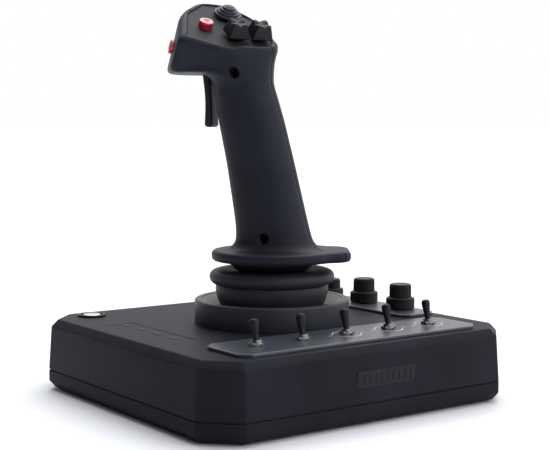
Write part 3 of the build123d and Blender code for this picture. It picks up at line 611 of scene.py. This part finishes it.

# %% [markdown]
# The boot is moulded rubber in two rolls. The lower roll is clamped in the sleeve at the bottom and rides
# over to the yoke, the upper one sits under the grip. A smooth curve through a few (radius, height)
# points is given the rubber's thickness and turned.

# %% boots
def flowing(knots, steps=7):
    """Catmull-Rom curve through the knots: between two of them it is the cubic whose slope at each knot is
    half the step from the knot before to the knot after."""
    k = np.asarray(knots, float)
    k = np.vstack([2 * k[0] - k[1], k, 2 * k[-1] - k[-2]])
    t = np.linspace(0, 1, steps, endpoint=False)[None, :, None]
    p0, p1, p2, p3 = k[:-3, None], k[1:-2, None], k[2:-1, None], k[3:, None]
    curve = 0.5 * (2 * p1 + (p2 - p0) * t + (2 * p0 - 5 * p1 + 4 * p2 - p3) * t ** 2
                   + (3 * p1 - p0 - 3 * p2 + p3) * t ** 3)
    return np.vstack([curve.reshape(-1, 2), k[-2]])


def sheet_profile(knots, thick):
    """Closed profile of a sheet: out along the curve, round the end, back along the same curve moved in."""
    outer = flowing(knots)
    along = np.gradient(outer, axis=0)
    along /= np.linalg.norm(along, axis=1)[:, None]
    normal = np.column_stack([-along[:, 1], along[:, 0]])
    middle, half = outer + normal * thick / 2, thick / 2
    a = np.linspace(0, np.pi, 7)[1:-1, None]
    far = middle[-1] + half * (along[-1] * np.sin(a) - normal[-1] * np.cos(a))
    near = middle[0] + half * (-along[0] * np.sin(a) + normal[0] * np.cos(a))
    return np.vstack([outer, far, (outer + normal * thick)[::-1], near])


LOWER_ROLL = [(28.9, TOP_Z), (28.9, 46.5), (29.4, 49.5), (30.6, 52.5), (31.8, 55.5), (32.8, 58.8),
              (33.2, 61.8), (32.9, 64.2)]
UPPER_ROLL = [(32.9, 64.6), (34.8, 65.3), (36.3, 67.0), (36.7, 69.2), (35.9, 71.4), (33.2, 73.0),
              (28.0, 73.4), (23.5, 72.8), (21.2, 71.6), (19.7, 70.4)]
RUBBER = 1.3                # thickness of the sheet


def roll(name, knots, node):
    profile = sheet_profile(knots, RUBBER)
    return piece(name, turned_surface(profile, 144)[0], grid_quads(len(profile), 144, close_rows=True), None,
                 boot_rubber, [node])


lower = roll("boot_roll_low", LOWER_ROLL, "boot_lower")
upper = roll("boot_roll_high", UPPER_ROLL, "boot_upper")
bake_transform(lower)
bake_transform(upper)
print("boots done")

# %% [markdown]
# Under the grip a cone-shaped collar locks the grip to the shaft. Twelve shallow scallops give the
# fingers something to turn it by.

# %% lock_collar
cone = soften([(7.05, 66.0), (18.2, 66.0), (18.2, 70.5), (20.5, 72.5), (25.5, 76.9), (25.5, 78.35),
               (7.05, 78.35), (7.05, 66.0)], [0, 0.5, 0.8, 1.5, 0.8, 0.3, 0.1, 0], 5)[:-1]
points = turned_surface(cone, 192)[0]
a, r = np.arctan2(points[:, 1], points[:, 0]), np.hypot(points[:, 0], points[:, 1])
fade_in, fade_out = np.clip((points[:, 2] - 72.5) / 2, 0, 1), np.clip((78.0 - points[:, 2]) / 2, 0, 1)
scallop = np.clip(np.cos(12 * a), 0, 1) ** 2 * 0.7 * fade_in * fade_out
points[:, :2] *= (1 - np.where(r > 15, scallop / np.maximum(r, 1), 0))[:, None]
piece("grip_lock_ring", points, grid_quads(len(cone), 192, close_rows=True), "stick",
      cone_plastic, ["lock_collar"])
print("lock collar done")

# %% [markdown]
# The grip is too blended to be lofted: a handle that leans forward, a wedge of a head, a flange for the
# heel of the hand, all running into each other. It is described as a distance field, a function that is
# negative inside the plastic, and simple shapes are joined with a smooth minimum, which leaves a fillet
# where they meet. The surface is then found where the field is zero.

# %% distance-field tools
def smooth_min(a, b, k):
    """The smaller of a and b, with a fillet of about k where they are close:
    min - k/4 * max(1-|a-b|/k, 0)^2."""
    h = np.clip(1 - np.abs(a - b) / k, 0, None)
    return np.minimum(a, b) - h * h * k * 0.25


def smooth_max(a, b, k):
    return -smooth_min(-a, -b, k)


def gradient(field, p, e=0.02):
    """Slope of the field at each point by central differences."""
    steps = np.eye(3) * e
    return np.stack([(field(p + s) - field(p - s)) / (2 * e) for s in steps], -1)


def surface_of(field, low, high, step):
    """Naive surface nets. The field is sampled on a grid. Every cell whose corners differ in sign gets one
    vertex, at the mean of the places where its edges cross zero. Every grid edge that crosses zero gets a
    quad from the four cells round it. The vertices are then pulled onto the surface along the slope."""
    axes = [np.arange(low[i], high[i] + step, step) for i in range(3)]
    grid = np.stack(np.meshgrid(*axes, indexing="ij"), -1)
    shape = grid.shape[:3]
    value = np.concatenate([field(block.reshape(-1, 3)) for block in np.array_split(grid, 24)]).reshape(shape)
    inside = value < 0
    total, count = np.zeros(tuple(n - 1 for n in shape) + (3,)), np.zeros(tuple(n - 1 for n in shape))
    for axis in range(3):
        lo = [slice(None)] * 3
        hi = [slice(None)] * 3
        lo[axis], hi[axis] = slice(0, -1), slice(1, None)
        crossing = inside[tuple(lo)] != inside[tuple(hi)]
        v0, v1 = value[tuple(lo)], value[tuple(hi)]
        t = np.where(crossing, v0 / np.where(crossing, v0 - v1, 1.0), 0.0)
        place = grid[tuple(lo)] + t[..., None] * (grid[tuple(hi)] - grid[tuple(lo)])
        place, weight = place * crossing[..., None], crossing.astype(float)
        others = [i for i in range(3) if i != axis]
        for d0 in (0, 1):
            for d1 in (0, 1):
                cut = [slice(None)] * 3
                cut[others[0]] = slice(d0, shape[others[0]] - 1 + d0)
                cut[others[1]] = slice(d1, shape[others[1]] - 1 + d1)
                total += place[tuple(cut)]
                count += weight[tuple(cut)]
    used = count > 0
    index = np.full(used.shape, -1)
    index[used] = np.arange(used.sum())
    points = total[used] / count[used][:, None]
    faces = []
    for axis in range(3):
        lo = [slice(None)] * 3
        hi = [slice(None)] * 3
        lo[axis], hi[axis] = slice(0, -1), slice(1, None)
        crossing = inside[tuple(lo)] != inside[tuple(hi)]
        where = np.argwhere(crossing)
        inner = [(where[:, i] > 0) & (where[:, i] < shape[i] - 1) for i in range(3) if i != axis]
        where = where[np.all(inner, 0)]
        u, v = (axis + 1) % 3, (axis + 2) % 3
        corners = []
        for du, dv in ((-1, -1), (0, -1), (0, 0), (-1, 0)):
            cell = where.copy()
            cell[:, u] += du
            cell[:, v] += dv
            corners.append(index[tuple(cell.T)])
        quads = np.stack(corners, -1)
        flip = ~inside[tuple(where.T)]
        quads[flip] = quads[flip][:, ::-1]
        faces.append(quads)
    for _ in range(4):
        g = gradient(field, points)
        move = -field(points)[:, None] * g / np.maximum((g * g).sum(1, keepdims=True), 0.05)
        points += np.clip(move, -0.4 * step, 0.4 * step)
    return points, np.vstack(faces)


def turn_z(points, degrees=30.0):
    """The grip is set 30 degrees round the stick, to suit the right hand."""
    a = np.radians(degrees)
    x, y = points[:, 0], points[:, 1]
    return np.column_stack([x * np.cos(a) - y * np.sin(a), x * np.sin(a) + y * np.cos(a), points[:, 2]])


print("field tools ready")

# %% [markdown]
# Sizes of the grip, in its own frame: x across, y forward, z up. The handle is a list of sections; the
# head is eight side walls between a flat underside and a tilted face.

# %% grip sizes
# Each section is its height, its middle along y, and its half sizes along x and y.
HANDLE = np.array([(80.5, -2.6, 23, 28), (88, -1.9, 17.8, 22.8), (100, 0, 16.6, 21.6), (117, 3.5, 16.1, 20.9),
                   (135, 7.2, 15.6, 20.2), (160, 13.2, 15.2, 19.6), (189, 19.9, 14.6, 17.0),
                   (199, 21.2, 14.0, 16.0)])
HANDLE_TOP, GRIP_FOOT = 199.0, 78.4
HEAD_Z = 187.5
FACE_O = np.array([1.4, 28.6, 213.9])
FACE_N = np.array([-0.317, -0.395, 0.862])
FACE_N /= np.linalg.norm(FACE_N)
FACE_X = np.array([0.939, 0.0, 0.345])
FACE_X = FACE_X - FACE_N * (FACE_X @ FACE_N)
FACE_X /= np.linalg.norm(FACE_X)
FACE_Y = np.cross(FACE_N, FACE_X)
# The corners of the head, round its face (in the face plane) and round its underside (x, y).
HEAD_TOP = np.array([(-36, 15.5), (-28.5, -16), (-7.5, -34), (6.5, -32),
                     (28, -7.5), (32, 16.5), (20, 31), (-3, 31.5)])
HEAD_LOW = np.array([(-31.5, 50.5), (-17.5, 19), (-6, 3.5), (6, 3.5),
                     (19, 24), (27, 56.5), (15, 69), (-4, 68.5)])
RIM_UP = 0.8                # the rim stands this far above the face
TOP_3D = FACE_O + HEAD_TOP[:, :1] * FACE_X + HEAD_TOP[:, 1:] * FACE_Y
LOW_3D = np.column_stack([HEAD_LOW, np.full(8, HEAD_Z)])
TRIM_UV, FORE_UV, AFT_UV = (14.9, 8.1), (-7.8, -8.0), (2.6, -18.6)
SCREWS = ((16.6, 187.5), (-2.5, 92.0))


def wall_distances(p):
    """Distance outside each head wall. A wall is ruled between a lower and an upper edge. At share t of the
    way up, its edge joins the corners (1-t) low + t top. The wall's slope there holds that edge and the line
    from the middle of the lower edge to the middle of the upper one."""
    below = np.clip(p[:, 2] - HEAD_Z, 0.0, None)
    above = np.clip(-((p - FACE_O) @ FACE_N) / FACE_N[2], 0.0, None)
    for i in range(8):
        j = (i + 1) % 8
        low, top = (LOW_3D[i] + LOW_3D[j]) / 2, (TOP_3D[i] + TOP_3D[j]) / 2
        rise, gap = top[2] - HEAD_Z, -((low - FACE_O) @ FACE_N) / FACE_N[2]
        t = (below * gap / (above * rise + below * gap + 1e-6))[:, None]
        a, b = (1 - t) * LOW_3D[i] + t * TOP_3D[i], (1 - t) * LOW_3D[j] + t * TOP_3D[j]
        normal = np.cross(b - a, top - low)
        normal /= np.linalg.norm(normal, axis=1)[:, None]
        yield ((p - (a + b) / 2) * normal).sum(1)


def plate_distance(p, inset):
    """Distance outside the face outline moved in by `inset`, measured in the face plane."""
    uv = np.stack([(p - FACE_O) @ FACE_X, (p - FACE_O) @ FACE_Y], -1)
    edge = np.roll(HEAD_TOP, -1, 0) - HEAD_TOP
    out = np.stack([edge[:, 1], -edge[:, 0]], -1) / np.linalg.norm(edge, axis=1)[:, None]
    return ((uv[:, None] - HEAD_TOP) * out).sum(-1).max(1) + inset


def head_field(p):
    d = None
    for wall in wall_distances(p):
        d = wall if d is None else smooth_max(d, wall, 4.5)
    d = smooth_max(d, (p - FACE_O) @ FACE_N - RIM_UP, 5.5)
    return smooth_max(d, HEAD_Z - p[:, 2], 4.0)


def handle_field(p):
    """Super-ellipse sections: rho = ((x/a)^2.3 + (y/b)^2.3)^(1/2.3) is 1 on the skin, so the distance is
    about |xy| * (1 - 1/rho)."""
    z = np.clip(p[:, 2], HANDLE[0, 0], HANDLE[-1, 0])
    y0, a, b = (np.interp(z, HANDLE_Z, c) for c in HANDLE_FINE.T)
    x, y = p[:, 0], p[:, 1] - y0
    rho = (np.abs(x / a) ** 2.3 + np.abs(y / b) ** 2.3) ** (1 / 2.3)
    side = np.hypot(x, y) * (1 - 1 / np.maximum(rho, 1e-4))
    side = np.where(rho < 0.2, -12.0, side)
    return np.maximum(side * 0.96, np.maximum(p[:, 2] - HANDLE_TOP, GRIP_FOOT - p[:, 2]))


HANDLE_Z = np.linspace(HANDLE[0, 0], HANDLE[-1, 0], 240)
bump = np.exp(-((HANDLE_Z[:, None] - HANDLE_Z) / 4.0) ** 2 / 2)
bump /= bump.sum(1, keepdims=True)
HANDLE_FINE = np.column_stack([bump @ np.interp(HANDLE_Z, HANDLE[:, 0], HANDLE[:, i]) for i in (1, 2, 3)])


def flange_field(p):
    """A disc joined to a rounded rectangular pad on the heel side, 6.2 mm thick with a rounded edge."""
    x, y = p[:, 0] - 0.5, p[:, 1] + 2.6
    disc = np.hypot(x, y) - 38.0
    c, s = np.cos(np.radians(24)), np.sin(np.radians(24))
    lx, ly = x * c + y * s, -x * s + y * c + 18.4
    q = np.stack([np.abs(lx) - 22 + 12, np.abs(ly) - 25 + 12], -1)
    pad = np.linalg.norm(np.maximum(q, 0), axis=1) + np.minimum(q.max(1), 0) - 12
    flat = smooth_min(disc, pad, 3.0) + 2.4
    up = np.abs(p[:, 2] - 81.5) - 3.1 + 2.4
    return np.minimum(np.maximum(flat, up), 0) + np.hypot(np.maximum(flat, 0), np.maximum(up, 0)) - 2.4


def grip_field(p):
    d = smooth_min(handle_field(p), head_field(p), 9.0)
    d = smooth_min(d, flange_field(p), 7.0)
    d = smooth_max(d, GRIP_FOOT - p[:, 2], 0.6)
    for y, z in SCREWS:
        hole = np.maximum(np.hypot(p[:, 1] - y, p[:, 2] - z) - 3.0, p[:, 0] + 9.9)
        d = smooth_max(d, -hole, 0.8)
    w = (p - FACE_O) @ FACE_N
    d = smooth_max(d, -np.maximum(plate_distance(p, 5.05), -2.62 - w), 0.5)
    slot = np.maximum(np.abs(p[:, 0]) - 6.2, np.abs(p[:, 1] - 39.0) - 6.3)
    slot = np.maximum(slot, np.abs(p[:, 2] - HEAD_Z) - 6.0)
    return smooth_max(d, -slot, 0.6)


print("middle of the head", grip_field(np.array([[0.0, 36.0, 203.0]])).round(2))

# %% [markdown]
# The real grip is two halves screwed together from the left. They are drawn as two pieces that meet on
# the middle plane, each with a small radius there, so the joint line shows as a fine groove all the way
# round.

# %% grip halves
STEP = 0.95
LOW_CORNER, HIGH_CORNER = np.array([-48.0, -56.0, 76.0]), np.array([46.0, 72.0, 231.0])
HALVES = (("grip_half_left", 1, "grip_shell_left"), ("grip_half_right", -1, "grip_shell_right"))
for name, side, node in HALVES:
    low, high = LOW_CORNER.copy(), HIGH_CORNER.copy()
    if side > 0:
        high[0] = 3.0
    else:
        low[0] = -3.0
    points, faces = surface_of(lambda p: smooth_max(grip_field(p), side * p[:, 0] + 0.02, 0.35),
                               low, high, STEP)
    piece(name, turn_z(points), faces, "stick", grip_plastic, [node])
    print(name, len(faces), "quads", points.min(0).round(1), points.max(0).round(1))

# %% [markdown]
# Two small square hats on the face have four corner posts left by crossed V grooves, so a thumb can feel
# which way it is pushing. They are small enough for a fine distance field: a tapered block minus two
# wedges, on a short stem.

# %% castle hats
def on_face(local, uv, turn=0.0):
    """Points given as (u, v, w) about a place on the face, w outward, into the grip's frame."""
    c, s = np.cos(np.radians(turn)), np.sin(np.radians(turn))
    u = local[:, 0] * c - local[:, 1] * s + uv[0]
    v = local[:, 0] * s + local[:, 1] * c + uv[1]
    return turn_z(FACE_O + u[:, None] * FACE_X + v[:, None] * FACE_Y + local[:, 2:] * FACE_N)


HAT_HALF, HAT_GAP = 6.6, 1.9


def castle_field(p):
    x, y, w = np.abs(p[:, 0]), np.abs(p[:, 1]), p[:, 2]
    half = HAT_HALF - (w - HAT_GAP) * 2.3 / 8.5
    taper = 0.965
    d = smooth_max((x - half) * taper, (y - half) * taper, 1.2)
    d = smooth_max(d, w - 10.4, 0.7)
    d = smooth_max(d, HAT_GAP - w, 0.5)
    depth = (w - 9.0) * 4.2 / 2.1
    for side in (x, y):
        d = smooth_max(d, -(side - depth) * 0.45, 0.5)
    stem = np.maximum(np.hypot(p[:, 0], p[:, 1]) - 3.0, np.maximum(w - 3.0, -3.2 - w))
    return np.minimum(d, stem)


HAT_TURN = -45.5            # degrees about the face's normal
points, faces = surface_of(castle_field, np.array([-7.6, -7.6, -4.0]), np.array([7.6, 7.6, 11.4]), 0.27)
for name, uv in (("fore", FORE_UV), ("aft", AFT_UV)):
    piece("hat_%s" % name, on_face(points, uv, HAT_TURN), faces, name + "_hat",
          control_plastic, [name + "_hat"])
print("castle hat quads", len(faces))

# %% [markdown]
# The round trim hat is a stack of four discs with a domed top, turned as one profile with eased steps.

# %% trim hat
DISC_IN, DISC_UP, DISC_FOOT = 1.55, 1.3, 1.35
steps = [(0, -3.4), (3.4, -3.4), (3.4, DISC_FOOT)]
for i in range(4):
    steps.append((8.5 - DISC_IN * i, DISC_FOOT + DISC_UP * i))
    steps.append((8.35 - DISC_IN * i, 2.65 + DISC_UP * i))
profile = soften(steps + [(2.9, 6.6), (1.4, 7.2), (0, 7.3)], 0.4, 4)
points, faces = turned_surface(profile, 96)
obj = piece("hat_trim", on_face(points, TRIM_UV), faces, "trim_hat", trim_plastic,
            ["trim_hat"])
obj.data.set_sharp_from_angle(angle=np.radians(50))
print("trim hat done")

# %% [markdown]
# The trigger is a curved blade on a cross pin. Its section is a rounded rectangle 11 mm wide; the front
# dips in for the finger.

# %% trigger
# Each row of the blade is its height, its back and its front.
BLADE = np.array([(156.0, 36.9, 42.2), (158.0, 36.9, 42.0), (164, 37.1, 41.6), (172, 37.5, 41.5),
                  (180, 38.0, 42.2), (185, 38.2, 43.0), (189.4, 37.8, 43.6)])
BLADE_LOW, BLADE_HIGH = BLADE[0, 0], BLADE[-1, 0]
BLADE_HALF = 5.5
PIN_Y, PIN_Z = 39.5, 191.5


def blade_field(p):
    z = p[:, 2]
    zi = np.clip(z, BLADE_LOW, BLADE_HIGH)
    back, front = np.interp(zi, BLADE_Z, BLADE_FINE[:, 0]), np.interp(zi, BLADE_Z, BLADE_FINE[:, 1])
    d = smooth_max(p[:, 1] - front, back - p[:, 1], 1.4)
    d = smooth_max(d, np.abs(p[:, 0]) - BLADE_HALF, 2.2)
    d = smooth_max(d, BLADE_LOW - z, 2.0)
    d = smooth_max(d, z - 190.5, 0.5)
    from_pin = np.hypot(p[:, 1] - PIN_Y, z - PIN_Z)
    d = smooth_min(d, np.maximum(from_pin - 3.4, np.abs(p[:, 0]) - BLADE_HALF), 0.8)
    return np.maximum(np.maximum(d, np.abs(p[:, 0]) - BLADE_HALF), 1.55 - from_pin)


BLADE_Z = np.linspace(BLADE_LOW, BLADE_HIGH, 120)
bump = np.exp(-((BLADE_Z[:, None] - BLADE_Z) / 2.5) ** 2 / 2)
bump /= bump.sum(1, keepdims=True)
BLADE_FINE = np.column_stack([bump @ np.interp(BLADE_Z, BLADE[:, 0], BLADE[:, i]) for i in (1, 2)])
points, faces = surface_of(blade_field, np.array([-6.5, 35.0, 155.5]), np.array([6.5, 45.0, 196.0]), 0.42)
piece("trigger_blade", turn_z(points), faces, "trigger", control_plastic, ["trigger"])
print("trigger quads", len(faces))

# %% [markdown]
# The remaining exact parts keep their shape and only need their real finish, except the grip screws: their
# near-black is painted shade that makes their bores read as dark holes. Inside, the gimbal is turned and
# milled aluminium on bronze bushes, with two circuit boards and magnets for the angle sensors.

# %% finishes of the exact parts
FINISH = {
    "rubber_feet": foot_rubber, "pan_screws": zinc, "ballast_plate": zinc, "main_board": board_mask,
    "usb_socket": nickel, "nameplate": cone_plastic, "encoder_bodies": nickel, "indicator_lenses": lens_gloss,
    "gimbal_frame": turned_aluminium, "roll_bearings": bronze, "roll_sensor": board_mask,
    "centring_spring": nickel, "yoke": turned_aluminium, "pitch_bearings": bronze, "roll_magnet": zinc,
    "pitch_sensor": board_mask, "stick_shaft": turned_aluminium, "pitch_axle": nickel,
    "pitch_magnet": zinc, "spring_seat": turned_aluminium,
    # grip_screws: near-black metal, painted shade down the screw bores
    "face_plate": plate_plastic, "grip_screws": bore_shade_screw_metal, "grip_board": board_mask, "trigger_pin": nickel,
    "grip_switches": control_plastic, "hat_switches": control_plastic, "face_button": red_gloss,
    "side_button": red_gloss, "trim_ball": nickel, "fore_ball": nickel, "aft_ball": nickel}
for name, finish in FINISH.items():
    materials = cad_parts[name].data.materials
    for i in range(max(len(materials), 1)):
        if materials:
            materials[i] = finish
        else:
            materials.append(finish)
print("finished", len(FINISH))

# %% [markdown]
# A wide pale floor, and a world that goes from dark on the left to white on the right, so the faces turned to
# the right catch a clean highlight. One broad sun from above and a little behind on the right, and a wider,
# weaker one from the front and right, stand for the soft lights of a product studio.

# %% studio
def studio_material(name, colour, rough):
    material, tree, shader, coords = start_material(name)
    noise = add_node(tree, "ShaderNodeTexNoise", sockets={"Scale": 40.0, "Detail": 2.0})
    tree.links.new(coords.outputs["Object"], noise.inputs["Vector"])
    spread = add_node(tree, "ShaderNodeMapRange", sockets={"To Min": rough - 0.03, "To Max": rough + 0.03})
    tree.links.new(noise.outputs["Fac"], spread.inputs["Value"])
    tree.links.new(spread.outputs["Result"], shader.inputs["Roughness"])
    shader.inputs["Base Color"].default_value = linear(colour)
    return material


mesh = bpy.data.meshes.new("studio_floor")
FLOOR_HALF = 80             # metres, so that the edge is never seen
floor_corners = [(FLOOR_HALF * i, FLOOR_HALF * j, 0) for i, j in FOUR]
mesh.from_pydata(floor_corners, [], [(0, 1, 2, 3)])
mesh.materials.append(studio_material("pale_floor", "#f8f8f9", 0.7))
floor = bpy.data.objects.new("studio_floor", mesh)
bpy.context.scene.collection.objects.link(floor)

world = bpy.data.worlds.new("studio_world")
world.use_nodes = True
sky = world.node_tree
direction = add_node(sky, "ShaderNodeTexCoord")
split = add_node(sky, "ShaderNodeSeparateXYZ")
ramp = add_node(sky, "ShaderNodeValToRGB")
side = add_node(sky, "ShaderNodeMapRange", sockets={"From Min": -1.0, "From Max": 1.0})
ramp.color_ramp.elements[0].position, ramp.color_ramp.elements[0].color = 0.15, linear("#1c1d22")
ramp.color_ramp.elements[1].position, ramp.color_ramp.elements[1].color = 0.62, linear("#ffffff")
sky.links.new(direction.outputs["Generated"], split.inputs["Vector"])
sky.links.new(split.outputs["X"], side.inputs["Value"])
sky.links.new(side.outputs["Result"], ramp.inputs["Fac"])
sky.links.new(ramp.outputs["Color"], sky.nodes["Background"].inputs["Color"])
sky.nodes["Background"].inputs["Strength"].default_value = 1.0
bpy.context.scene.world = world


def sun_light(name, direction_from, strength, spread):
    data = bpy.data.lights.new(name, "SUN")
    data.energy, data.angle, data.color = strength, np.radians(spread), (0.9, 0.93, 1.0)
    obj = bpy.data.objects.new(name, data)
    bpy.context.scene.collection.objects.link(obj)
    obj.rotation_euler = Vector(direction_from).to_track_quat("Z", "Y").to_euler()
    return obj


# Each sun has the direction it shines from, its strength and its spread in degrees.
sun_light("sky_panel", (0.35, 0.35, 1.0), 2.2, 60)
sun_light("front_fill", (0.25, -1.0, 0.35), 1.1, 90)
bpy.context.scene.view_settings.view_transform = "Standard"
